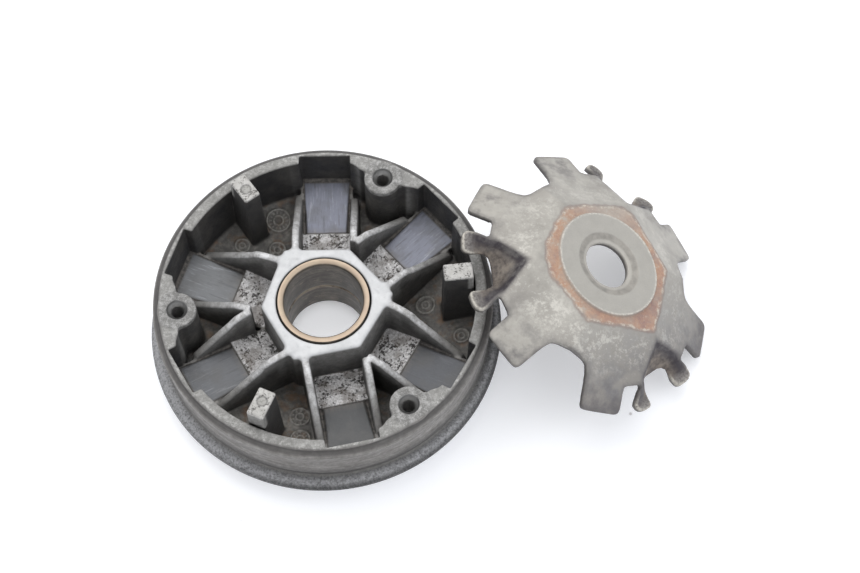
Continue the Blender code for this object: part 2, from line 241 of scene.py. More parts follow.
def fold(x, y):
    """Radius, angle from the nearest cover boss, and u along the nearest pocket's axis and v across it."""
    r = np.hypot(x, y)
    b = np.abs((np.degrees(np.arctan2(y, x)) - (POST0 + 60.0) + 60.0) % 120.0 - 60.0)
    turn = np.radians(b) - rad(BOSS_TO_POCKET)
    return r, b, r * np.cos(turn), r * np.sin(turn)


def boss_distance(r, b):
    """Distance from the axis of the nearest cover boss."""
    return np.hypot(r * np.cos(np.radians(b)) - BOSS_R, r * np.sin(np.radians(b)))


def post_place(r, b):
    """Place seen from the middle of the nearest post, outward and across."""
    turn = rad(60) - np.radians(b)
    return r * np.cos(turn) - POST_R, r * np.sin(turn)


def floor_height(r):
    return 3.9 + (r - 10.0) * 0.1818


def ramp_height(u, v):
    """Rough inner part, then the track worn by the roller with a shallow unworn gutter along each side."""
    rough = 11.2 + (u - 20.0) * 0.2963
    wear = 14.0 + (u - 31.2) * 0.1313 - 0.45 * soft(0.0, 0.6, np.abs(v) - track_half(u))
    return np.where(u < TRACK_START, rough, wear)


def track_half(u):
    return np.interp(u, [TRACK_START, 49.0], [6.5, 7.5])


def soft(edge0, edge1, v):
    t = np.clip((v - edge0) / (edge1 - edge0), 0, 1)
    return t * t * (3 - 2 * t)


def rib_top(u, boss_side):
    """Height of a rib's top edge; the two ribs of a pocket differ."""
    if boss_side:
        places, heights = [18, 21.5, 24, 27, 29, 43, 46], [27.2, 27.2, 27.0, 26.4, 24.9, 16.4, 13.5]
    else:
        places, heights = [16, 22, 25, 27, 29, 45.5, 47], [28.0, 27.9, 27.6, 26.9, 25.0, 14.9, 12.0]
    return np.interp(u, places, heights)


def pin_distance(x, post_x, post_y):
    """Distance from the round pin mark on a post's top; the post nearest +X has none."""
    plain = 20.0 * (x > 20.0)
    return np.hypot(post_x + 0.7, post_y) + plain


def sheave_field(x, y, z):
    """Distance field of the casting; x and y are 2-D columns, z is 1-D levels."""
    r, b, u, v = fold(x, y)
    rb = np.radians(b)
    u_other_boss = r * np.cos(rb + rad(BOSS_TO_POCKET))
    u_other_post = r * np.cos(rb - rad(120 - BOSS_TO_POCKET))
    table_r = np.arange(0, 62.0, 0.1)
    # distances that are the same at every level
    hub_side = smax(smax(u, u_other_boss, 0.8), u_other_post, 0.8) - HUB_FLAT
    pocket_side = smax(u - POCKET_END, np.abs(v) - POCKET_HALF, 0.25)
    rim_side = RIM_INNER - 1.9 / (1 + np.exp((b - 11.5) / 0.9))
    cavity_side = smin(r - rim_side, pocket_side, 0.5)
    from_boss = boss_distance(r, b)
    post_x, post_y = post_place(r, b)
    ramp_side = np.abs(v) - (POCKET_HALF + 0.6)
    # cast surfaces are uneven: pitted beside the hub, gently wavy on the deep floors
    flat = np.zeros_like(x)
    floor = floor_height(r) + 0.14 * value_noise(x, y, flat, 2.4, 11)
    ramp = ramp_height(u, v) + 0.16 * value_noise(x, y, flat, 1.1, 7) * soft(31.2, 30.6, u)
    top_post = rib_top(u, False)
    top_boss = rib_top(u, True)
    marks = ejector_marks(x, y)
    pin = pin_distance(x, post_x, post_y)
    dimple = 0.22 * soft(1.7, 1.4, pin) + 0.2 * np.exp(-((pin - 1.6) / 0.22) ** 2)
    out = np.empty(x.shape + (len(z),), np.float32)
    for k, level in enumerate(z):
        outer = np.interp(r, table_r, polygon_distance(table_r, np.full_like(table_r, level), OUTER))
        cavity = smax(cavity_side + (level - 20.0) * -0.012, floor + marks - level, 1.6)
        d = smax(outer, -cavity, 0.35)
        # roller ramps
        block = smax(smax(ramp_side, np.maximum(level - ramp, 16.0 - u), 0.2), outer + 1.2, 0.2)
        d = smin(d, block, 0.9)
        # ribs, a little thicker at the root
        grow = np.maximum(0.0, (top_post - level)) * 0.022
        end = u - 46.8 + (level - 10) * 0.05
        rib = smax(smax(np.abs(v - RIB_LINE) - RIB_HALF - grow, level - top_post, 1.1), outer + 1.0, 0.2)
        d = smin(d, np.maximum(smax(rib, end, 0.8), 15.5 - u), 0.9)
        rib = smax(smax(np.abs(v + RIB_LINE) - RIB_HALF - grow, level - top_boss, 1.1), outer + 1.0, 0.2)
        d = smin(d, smax(smax(rib, u - 43.6, 0.8), 21.6 - u, 0.6), 0.9)
        # hub
        d = smin(d, smax(hub_side, level - HUB_TOP, 1.3), 1.5)
        # cover bosses blended in the rim, with countersunk and threaded holes
        boss = smax(from_boss - BOSS_RADIUS, level - (RIM_TOP - 0.1), 0.3)
        d = smin(d, smax(boss, 8.0 - level, 0.3), 1.4)
        hole_r = np.interp(level, [18.0, 30.4, 31.9, 34.0], [2.05, 2.05, 3.25, 3.4])
        hole_r = hole_r + (0.16 * math.sin(2 * math.pi * level / 1.05) if level < 30.6 else 0.0)
        d = smax(d, -np.maximum(from_boss - hole_r, 18.1 - level), 0.15)
        # posts
        taper = (POST_TOP - level) * 0.018
        post = box2(post_x, post_y, POST_HALF_SIZE[0] + taper * 0.4, POST_HALF_SIZE[1] + taper, 0.5)
        d = smin(d, smax(smax(post, level - (POST_TOP - dimple), 0.35), 7.0 - level, 0.3), 1.1)
        # bore with a small lead-in
        lead = max(0.0, level - (HUB_TOP - 0.35)) + max(0.0, 0.8 - level)
        d = smax(d, BORE - r + lead, 0.12)
        out[:, :, k] = np.maximum(d, -level)
    return out


# moulding pins on the deep floors: distance and direction from the bore, pin radius, number of ticks round it
PINS = [(41.9, 114.3, 3.9, 14), (40.9, 135.2, 2.3, 0), (32.7, 121.9, 2.6, 5), (33.3, 12.6, 3.0, 0)]
PINS += [(44.6, 354.0, 2.4, 0), (33.2, 256.3, 3.1, 9), (41.0, 259.6, 3.0, 12), (45.5, 238.0, 1.6, 0)]


def ejector_marks(x, y):
    """Raised rings and ticks left by round moulding pins on the deep floors."""
    total = np.zeros_like(x)
    for radius, angle, size, ticks in PINS:
        dx, dy = x - radius * math.cos(rad(angle)), y - radius * math.sin(rad(angle))
        d = np.hypot(dx, dy)
        total = np.maximum(total, 0.75 * np.exp(-((d - size) / 0.38) ** 2))
        total = np.maximum(total, 0.65 * np.exp(-((d - size * 0.42) / 0.34) ** 2))
        if ticks:
            spoke = 0.5 + 0.5 * np.cos(ticks * np.arctan2(dy, dx))
            total = np.maximum(total, 0.6 * spoke ** 2 * np.exp(-((d - size * 0.72) / 0.5) ** 2))
    return total


def build_sheave(step):
    grid = np.arange(-58.4, 58.4 + step, step)
    z = np.arange(-1.0, 40.4 + step, step)
    x, y = np.meshgrid(grid, grid, indexing="ij")
    field = sheave_field(x, y, z)
    verts, quads = surface_nets(field, (grid[0], grid[0], z[0]), step)
    verts = relax(verts, quads, 2, 0.4)
    verts[:, 2] = np.clip(verts[:, 2], 0.0, POST_TOP)
    r = np.hypot(verts[:, 0], verts[:, 1])
    verts[:, :2] /= np.maximum(1.0, r / LARGEST_RADIUS)[:, None]
    obj = quad_mesh("sheave_casting", verts + np.array(BORE_AXIS), quads)
    paint_sheave(obj, verts)
    return obj


def paint_sheave(obj, p):
    """Masks that the material blends: worn bright, slid, rough, oily dark and so on."""
    x, y, z = p[:, 0], p[:, 1], p[:, 2]
    r, b, u, v = fold(x, y)
    inside = soft(51.6, 51.1, r)
    zr = ramp_height(u, v)
    on_ramp = soft(8.4, 7.9, np.abs(v)) * soft(18.2, 18.8, u) * inside
    on_ramp = on_ramp * soft(zr + 0.9, zr + 0.3, z) * soft(zr - 1.2, zr - 0.6, z)
    half = track_half(u)
    slid = on_ramp * soft(31.0, 31.6, u) * soft(49.6, 48.8, u) * soft(half + 0.35, half - 0.1, np.abs(v))
    tops = np.where(v > 0, rib_top(u, False), rib_top(u, True))
    from_rib = np.abs(np.abs(v) - RIB_LINE)
    rib = soft(2.0, 1.4, from_rib) * soft(18.0, 20.0, u) * soft(tops - 1.0, tops - 0.35, z)
    rib = rib * soft(48.0, 46.0, u) * soft(tops + 1.5, tops + 0.8, z)
    hub = soft(HUB_TOP - 0.9, HUB_TOP - 0.3, z) * soft(24.5, 23.5, r) * soft(HUB_TOP + 2.0, HUB_TOP + 1.0, z)
    post = soft(POST_TOP - 1.0, POST_TOP - 0.6, z)
    rim = soft(RIM_TOP - 0.9, RIM_TOP - 0.25, z) * soft(45.8, 46.6, r) * (1 - post)
    from_boss = boss_distance(r, b)
    boss = soft(7.2, 6.2, from_boss) * soft(RIM_TOP - 2.2, RIM_TOP - 1.2, z)
    tops_all = np.maximum(np.maximum(rib, hub), np.maximum(rim, post))
    deep = inside * (1 - on_ramp) * (1 - tops_all) * (1 - boss)
    belt = soft(9.2, 8.4, z) * soft(0.0, 1.0, (r - 20) * 0.2324 + 0.8 - z)
    angle = np.degrees(np.arctan2(y, x)) % 360.0
    shade = np.zeros(len(x))
    blue = np.zeros(len(x))
    track_angle = [POST0 + 60 + 120 * k + s * BOSS_TO_POCKET for k in range(3) for s in (-1, 1)]
    for middle, paleness, blueness in zip(track_angle, TRACK_SHADE, TRACK_BLUE):
        near = soft(25.0, 20.0, np.abs((angle - middle + 180) % 360 - 180))
        shade += near * paleness
        blue += near * blueness
    post_x, post_y = post_place(r, b)
    post_side = soft(1.6, 1.0, box2(post_x, post_y, *POST_HALF_SIZE, 0.5)) * (1 - post)
    beside = soft(2.6, 1.6, from_rib) * soft(48.0, 45.0, u) * soft(17.0, 20.0, u)
    flank = np.maximum(beside * soft(tops - 7.5, tops - 1.0, z), soft(26.5, 24.5, r) * soft(12.0, 27.0, z))
    paint(obj, hub=hub, rib=rib * soft(50, 26, u), rib_low=rib * soft(30, 46, u), slid=slid, shade=shade,
          blue=blue, gutter=on_ramp * soft(30.6, 31.4, u) * (1 - slid), pale=on_ramp * soft(31.0, 30.5, u),
          post=post, post_side=post_side * inside * soft(10.0, 13.0, z), pin=pin_distance(x, post_x, post_y),
          flank=flank * deep, rim=rim, boss=boss, hole=soft(3.5, 3.2, from_boss) * soft(17.0, 18.0, z),
          deep=deep, mark=np.clip(ejector_marks(x, y) / 0.7, 0, 1) * deep * soft(14.0, 12.0, z),
          belt=belt * soft(19.5, 20.5, r), radius=r, angle=angle, u=u, v=v, level=z,
          flange=soft(8.2, 9.0, z) * soft(14.6, 12.2, z) * soft(53.2, 54.4, r),
          wall=soft(51.6, 52.2, r) * soft(12.6, 14.0, z))


# -------- ramp plate
PLATE_T = 2.2
PLATE_HOLE = 7.8
PLATE_SINK = 11.1
PLATE_DISC = 17.9
DISC_STEP = 0.9
RAMP_FROM_EAR = 35.95
RAMP_START = 21.3
RAMP_SLOPE = math.tan(rad(26.6))
EAR_START = 27.8
EAR_FLAT = 36.1
PLATE_LEAN = rad(27.4)
PLATE_LEAN_DIR = rad(5.7)
PLATE_TURN = rad(-1.05)
EAR0 = 70.0
EAR_REACH = 26              # an ear's pressed channel lies within this angle of its axis
# half of an ear, along its axis and to the side: notch for the slide piece, horn, slit beside the ramp
EAR_OUTLINE = [(36.2, 0.0), (36.2, 3.0), (36.7, 4.6), (38.0, 5.7), (39.6, 6.1), (43.7, 6.7), (44.5, 7.2)]
EAR_OUTLINE += [(44.9, 8.2), (44.9, 10.6), (44.6, 12.2), (44.0, 13.2), (43.0, 13.8), (41.9, 13.8)]
EAR_OUTLINE += [(40.8, 13.1), (39.0, 11.4), (38.1, 10.6), (37.5, 10.7), (35.5, 15.3)]
# half of a ramp's tongue, along its axis and across it, from the slit round to the arc between two ramps
TONGUE_OUTLINE = [(38.2, -7.4), (40.0, -7.2), (44.4, -7.05), (45.4, -6.75), (46.0, -6.05)]
TONGUE_OUTLINE += [(46.2, -5.1), (46.25, 0.0), (46.2, 5.1), (46.0, 6.1), (45.4, 6.85), (44.4, 7.15)]
TONGUE_OUTLINE += [(38.0, 7.1), (36.0, 7.2), (34.9, 7.4)]
# the arc between two ramps, as degrees from the ear and radius
ARC_OUTLINE = [(48.9, 34.5), (50.2, 33.9), (52.5, 33.4), (56.0, 33.2), (60.0, 33.1)]


def plate_frame():
    """Turn from the plate's own axes to the bench's."""
    axis = Vector((-math.sin(PLATE_LEAN_DIR), math.cos(PLATE_LEAN_DIR), 0.0))
    normal = Matrix.Rotation(PLATE_LEAN, 3, axis) @ Vector((0.0, 0.0, 1.0))
    x = Vector((1.0, 0.0, 0.0)) - normal * normal.x
    x.normalize()
    y = normal.cross(x)
    return Matrix((x, y, normal)).transposed() @ Matrix.Rotation(PLATE_TURN, 3, "Z")


def turned(points, angle):
    c, s = math.cos(rad(angle)), math.sin(rad(angle))
    return [(u * c - v * s, u * s + v * c) for u, v in points]


def plate_outline():
    half = EAR_OUTLINE + turned(TONGUE_OUTLINE, RAMP_FROM_EAR)
    half += [(r * math.cos(rad(d)), r * math.sin(rad(d))) for d, r in ARC_OUTLINE]
    third = [(u, -v) for u, v in reversed(half[1:])] + half[:-1]
    return [point for k in range(3) for point in turned(third, EAR0 + 120 * k)]


def from_ear(x, y):
    """Radius and signed angle from the nearest ear's axis."""
    return np.hypot(x, y), (np.degrees(np.arctan2(y, x)) - EAR0 + 60) % 120 - 60


def ramp_place(r, c):
    """Distances along the nearest ramp's axis and across it."""
    turn = np.radians(np.abs(c) - RAMP_FROM_EAR)
    return r * np.cos(turn), r * np.abs(np.sin(turn))


def plate_base(r, c):
    """Height of the upper face without the ears."""
    along = ramp_place(r, c)[0]
    slope = -DISC_STEP - RAMP_SLOPE * 0.5 * ((along - RAMP_START) + np.sqrt((along - RAMP_START) ** 2 + 0.7))
    h = slope * soft(PLATE_DISC - 0.15, PLATE_DISC + 0.55, r)
    sink = soft(PLATE_SINK + 0.1, PLATE_SINK - 0.5, r) * (0.35 + 0.65 * soft(PLATE_SINK - 0.3, PLATE_HOLE, r))
    return h - 0.95 * sink


def plate_top(r, c):
    """Height of the upper face with the ears' channels pressed in."""
    u = r * np.cos(np.radians(c))
    v = r * np.abs(np.sin(np.radians(c)))
    steep = -1.6 - (u - EAR_START) * 1.47
    floor = smax(steep, -13.8 - 0.04 * (u - EAR_FLAT), 1.6)
    half = np.minimum(0.5 * np.maximum(u - EAR_START, 0.0), 6.4)
    slope = 1.05 - 0.8 * np.clip((u - 37.5) / 4.0, 0, 1)
    side = v - half
    wall = 0.5 * (side + np.sqrt(side * side + 1.2))
    base = plate_base(r, c)
    return np.where((np.abs(c) < EAR_REACH) & (u > 22), smin(base, floor + slope * wall, 2.6), base)


def build_plate(step):
    grid = np.arange(-48.8, 48.8 + step, step)
    z = np.arange(-19.5, 1.0 + step, step)
    x, y = np.meshgrid(grid, grid, indexing="ij")
    r, c = from_ear(x, y)
    edge = polygon_distance(x, y, plate_outline())
    top = plate_top(r, c)
    gx, gy = np.gradient(top, step)
    ex, ey = np.gradient(edge, step)
    steepness = gx ** 2 + gy ** 2
    stretch = 1.0 / np.sqrt(1 + steepness)
    lean_in = np.clip((ex * gx + ey * gy) / (1 + steepness), -0.5, 0.5) * soft(30.0, 36.0, r)
    half = PLATE_T / 2
    field = np.empty(x.shape + (len(z),), np.float32)
    for k, level in enumerate(z):
        sheet = np.abs(level - (top - half)) * np.maximum(stretch, 0.5) - half * np.maximum(stretch, 0.84)
        cut = edge - lean_in * np.clip(top - level, 0, 3.0)
        field[:, :, k] = smax(smax(sheet, cut, 0.4), PLATE_HOLE - r, 0.3)
    verts, quads = surface_nets(field, (grid[0], grid[0], z[0]), step)
    verts = relax(verts, quads, 2, 0.4)
    world = verts @ np.array(plate_frame()).T + np.array(joint("plate_lift")["pos_m"]) / MM
    lo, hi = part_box("ramp_plate")
    obj = quad_mesh("ramp_plate_stamping", np.clip(world, np.array(lo) / MM, np.array(hi) / MM), quads)
    paint_plate(obj, verts)
    return obj


def paint_plate(obj, p):
    """Masks that the material blends, worked out on the plate's own axes."""
    x, y = p[:, 0], p[:, 1]
    r, c = from_ear(x, y)
    angle = np.degrees(np.arctan2(y, x))
    top = plate_top(r, c)
    along, across = ramp_place(r, c)
    # rust fills the flat between the disc and the bends, and thins out on the far side
    limit = 24.9 + 1.6 * np.cos(np.radians(angle + 25))
    paint(obj, radius=r, pressed=np.clip(plate_base(r, c) - top, 0, 8), along=along, across=across,
          ear_u=np.where(np.abs(c) < EAR_REACH, r * np.cos(np.radians(c)), 0.0),
          upper=soft(-1.2, -0.5, p[:, 2] - top), room=smin(21.8 - along, limit - r, 1.6),
          rusty=1 - 0.72 * np.exp(-((angle - 88) / 34) ** 2),
          low=np.clip((0.62 * x - 0.8 * y) / 41, 0, 1), left=np.clip((-0.8 * x - 0.6 * y) / 32, 0, 1),
          edge=-polygon_distance(x, y, plate_outline()))


# -------- turned pieces
ROLLER_RADIUS = 10.0


def lathe(name, profile, sides):
    """Ring mesh about +Z from a closed (radius, z) loop."""
    count = len(profile)
    angle = np.arange(sides) * 2 * math.pi / sides
    radius, height = np.asarray(profile, float).T
    verts = np.stack([np.outer(np.cos(angle), radius), np.outer(np.sin(angle), radius),
                      np.tile(height, (sides, 1))], 2).reshape(-1, 3)
    i = np.arange(sides)[:, None]
    k = np.arange(count)
    j = (i + 1) % sides
    m = (k + 1) % count
    quads = np.stack([i * count + k, j * count + k, j * count + m, i * count + m], 2).reshape(-1, 4)
    if np.sum(radius * np.roll(height, -1) - np.roll(radius, -1) * height) < 0:
        quads = quads[:, ::-1]
    obj = quad_mesh(name, verts, quads)
    obj.data.set_sharp_from_angle(angle=rad(50))
    return obj


def rounded(points, radius, parts):
    """Rounds the corners of a closed (radius, z) loop."""
    pts = [Vector(p) for p in points]
    out = []
    n = len(pts)
    for i, p in enumerate(pts):
        a, b = pts[i - 1] - p, pts[(i + 1) % n] - p
        la, lb = a.length, b.length
        reach = min(radius, la * 0.45, lb * 0.45)
        a = p + a / la * reach
        b = p + b / lb * reach
        for k in range(parts + 1):
            t = k / parts
            q = a * (1 - t) ** 2 + p * 2 * t * (1 - t) + b * t ** 2
            out.append((q.x, q.y))
    return out


def move(obj, matrix):
    """Applies a placement given in millimetres to the mesh itself."""
    m = matrix.copy()
    m.translation = m.translation * MM
    obj.data.transform(m)
    obj.data.update()


def build_bush(node, seam):
    """Plain sleeve with faint turning marks in its bore; seam marks the joint line at its upper end."""
    lo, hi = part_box(node)
    z0, z1 = lo[2] / MM, hi[2] / MM
    chamfer = 0.35
    inner, outer = 12.75, 14.87
    loop = [(inner + chamfer, z0), (outer - chamfer, z0), (outer, z0 + chamfer), (outer, z1 - chamfer)]
    loop += [(outer - chamfer * 0.6, z1), (inner + 0.5, z1), (inner, z1 - 0.55)]
    rings = 14
    for i in range(1, rings):
        z = z1 - 0.55 + (z0 + 0.85 - z1) * i / rings
        loop.append((inner + 0.012 * math.sin(i * 2.1), z))
    loop += [(inner, z0 + 0.3)]
    obj = lathe(node + "_sleeve", loop, 160)
    p = np.array([v.co for v in obj.data.vertices]) / MM
    paint(obj, seam=(np.hypot(p[:, 0], p[:, 1]) < inner + 0.6) * (p[:, 2] > z1 - 0.6) * seam)
    move(obj, Matrix.Translation(BORE_AXIS))
    return obj


def build_drive_boss():
    """Ground sleeve with two shallow oil grooves round it."""
    c = box_centre("drive_boss")
    r = 12.45
    length = 38.0
    loop = [(8.2, 0), (r - 0.9, 0), (r - 0.5, 0.15), (r, 0.9)]
    for z in (9.0, 26.8):
        loop += [(r, z), (r - 0.45, z + 0.5), (r - 0.45, z + 1.7), (r, z + 2.2)]
    loop += [(r, length - 0.9), (r - 0.5, length - 0.15), (r - 0.9, length)]
    loop += [(8.2, length), (7.7, length - 0.5)]
    loop += [(7.62, length - 2.0 - i * 1.6) for i in range(22)]
    loop += [(7.7, 0.5)]
    obj = lathe("drive_boss_sleeve", rounded(loop, 0.25, 2), 144)
    move(obj, Matrix.Translation((c.x, c.y, 0)))
    return obj


def mirrored(half_loop):
    """A closed loop from the half below z = 0."""
    return half_loop + [(r, -z) for r, z in reversed(half_loop)]


def build_roller(index):
    """Polyamide tyre and the metal weight inside it, lying across its pocket's direction."""
    centre = box_centre(f"roller_{index}_sleeve")
    axis = joint(f"roller_{index}_travel")["axis"]
    lay = Matrix.Translation((centre.x, centre.y, ROLLER_RADIUS))
    for turn, about in ((math.atan2(axis[1], axis[0]), "Z"), (math.pi / 2, "X"), (index * 1.13, "Z")):
        lay = lay @ Matrix.Rotation(turn, 4, about)
    half = 7.5
    sleeve = mirrored([(6.95, -half + 0.5), (7.4, -half), (9.0, -half), (9.96, -half + 0.75)])
    tyre = lathe(f"roller_{index}_tyre", rounded(sleeve, 0.4, 3), 128)
    core = mirrored([(2.7, -half + 1.6), (3.6, -half + 0.5), (5.9, -half + 0.5), (6.55, -half + 1.0)])
    weight = lathe(f"roller_{index}_weight", rounded(core, 0.3, 2), 96)
    for obj in (tyre, weight):
        move(obj, lay)
    return tyre, weight


def build_slide(index):
    """Moulded shoe: slot open outward for the post, seat for the plate's ear, thin flanges."""
    height = 11.0
    step = 0.2
    gu = np.arange(33.4, 47.6 + step, step)
    gv = np.arange(-6.6, 6.6 + step, step)
    gz = np.arange(-0.6, 11.6 + step, step)
    u, v, z = np.meshgrid(gu, gv, gz, indexing="ij")
    from_middle = np.abs(z - height / 2)
    d = smax(box2(u - 40.5, v, 6.48, 5.98, 1.5), from_middle - height / 2, 0.7)
    slot = np.maximum(np.abs(v) - 3.1, 36.6 - u)
    d = smax(d, -slot, 0.5)
    groove = smax(from_middle - 1.3, u - 35.2, 0.3)
    d = smax(d, -groove, 0.3)
    recess = smax(smax(from_middle - 3.4, np.abs(u - 41.6) - 3.6, 0.6), 5.55 - np.abs(v), 0.2)
    d = smax(d, -recess, 0.3)
    verts, quads = surface_nets(d.astype(np.float32), (gu[0], gv[0], gz[0]), step)
    verts = relax(verts, quads, 1, 0.4)
    verts[:, 2] = np.clip(verts[:, 2], 0, height)
    obj = quad_mesh(f"slide_shoe_{index}", verts, quads)
    bench = box_centre("drive_boss")
    turn = Matrix.Rotation(rad(POST0 + 120 * (index - 1)), 4, "Z")
    move(obj, Matrix.Translation((bench.x, bench.y, 0)) @ turn)
    return obj


# -------- materials
class Nodes:
    """Helper for building a shader tree; a string as a value is the mesh attribute of that name."""

    def __init__(self, name):
        self.mat = bpy.data.materials.new(name)
        self.mat.use_nodes = True
        self.tree = self.mat.node_tree
        self.bsdf = self.tree.nodes["Principled BSDF"]

    def put(self, socket, value):
        if isinstance(value, str):
            value = self.attr(value)
        if isinstance(value, bpy.types.NodeSocket):
            self.tree.links.new(value, socket)
        elif isinstance(value, (tuple, list)) and len(value) == 3 and socket.type == "RGBA":
            socket.default_value = (*value, 1.0)
        else:
            socket.default_value = value

    def node(self, kind, inputs=None, **props):
        n = self.tree.nodes.new("ShaderNode" + kind)
        for key, value in props.items():
            setattr(n, key, value)
        for key, value in (inputs or {}).items():
            self.put(n.inputs[key], value)
        return n

    def attr(self, name):
        return self.node("Attribute", attribute_name=name).outputs["Fac"]

    def coords(self, scale=(1000.0, 1000.0, 1000.0), rotate=(0, 0, 0)):
        tc = self.node("TexCoord").outputs["Object"]
        return self.node("Mapping", {"Vector": tc, "Scale": scale, "Rotation": rotate}).outputs[0]

    def noise(self, size, detail, rough, vector=None):
        """Noise whose features are about size millimetres across."""
        place = {"Vector": vector or self.coords(), "Scale": 1.0 / size}
        return self.node("TexNoise", {**place, "Detail": detail, "Roughness": rough}).outputs["Fac"]

    def ramp(self, fac, lo, hi, a=0.0, b=1.0):
        """Maps lo..hi to a..b, and holds the ends."""
        limits = {"From Min": lo, "From Max": hi, "To Min": a, "To Max": b}
        return self.node("MapRange", {"Value": fac, **limits}).outputs[0]

    def math(self, operation, a, b):
        return self.node("Math", {0: a, 1: b}, operation=operation).outputs[0]

    def mul(self, first, *others):
        for other in others:
            first = self.math("MULTIPLY", first, other)
        return first

    def add(self, a, b):
        return self.math("ADD", a, b)

    def band(self, value, start, full, last, end):
        """Rises from start to full and falls again from last to end."""
        return self.mul(self.ramp(value, start, full), self.ramp(value, end, last))

    def spots(self, size, detail, rough, *limits):
        """Patches of noise, cut by the limits of a ramp."""
        return self.ramp(self.noise(size, detail, rough), *limits)

    def combine(self, x, y, z):
        return self.node("CombineXYZ", {"X": x, "Y": y, "Z": z}).outputs[0]

    def most(self, a, b):
        return self.math("MAXIMUM", a, b)

    def one_minus(self, a):
        return self.math("SUBTRACT", 1.0, a)

    def mean(self, a, weight, b):
        """Weighted mean of two values; the weight is that of the first."""
        return self.add(self.mul(a, weight), self.mul(b, round(1.0 - weight, 6)))

    def mix(self, fac, a, b):
        return self.node("Mix", {0: fac, 6: a, 7: b}, data_type="RGBA").outputs[2]

    def over(self, below, mask, color, strength=None):
        """Lays a colour over another where the mask is."""
        return self.mix(self.mul(mask, strength) if strength else mask, below, color)

    def coat(self, mask, color, strength=None):
        """Lays a colour over the material's own."""
        self.color = self.over(self.color, mask, color, strength)

    def mottle(self, fac, lo, hi, a, b):
        """Colour a where fac is under lo, b where it is over hi."""
        return self.mix(self.ramp(fac, lo, hi), a, b)

    def blend(self, fac, a, b):
        return self.node("Mix", {0: fac, 2: a, 3: b}, data_type="FLOAT").outputs[0]

    def tone(self, fac, stops):
        """Colour scale through the stops, each a place from 0 to 1 and its colour."""
        n = self.node("ValToRGB", {"Fac": fac})
        el = n.color_ramp.elements
        el[0].position, el[0].color = stops[0][0], (*stops[0][1], 1)
        el[1].position, el[1].color = stops[-1][0], (*stops[-1][1], 1)
        for pos, col in stops[1:-1]:
            e = el.new(pos)
            e.color = (*col, 1)
        return n.outputs[0]

    def bump(self, height, strength, distance, normal=None):
        n = self.node("Bump", {"Height": height, "Strength": strength, "Distance": distance})
        if normal is not None:
            self.put(n.inputs["Normal"], normal)
        return n.outputs[0]

    def normal_z(self):
        geo = self.node("NewGeometry").outputs["Normal"]
        return self.node("SeparateXYZ", {"Vector": geo}).outputs[2]

    def finish(self, metallic, roughness, normal, **more):
        values = {"Base_Color": self.color, "Metallic": metallic, "Roughness": roughness, "Normal": normal}
        for key, value in {**values, **more}.items():
            self.put(self.bsdf.inputs[key.replace("_", " ")], value)
        return self.mat


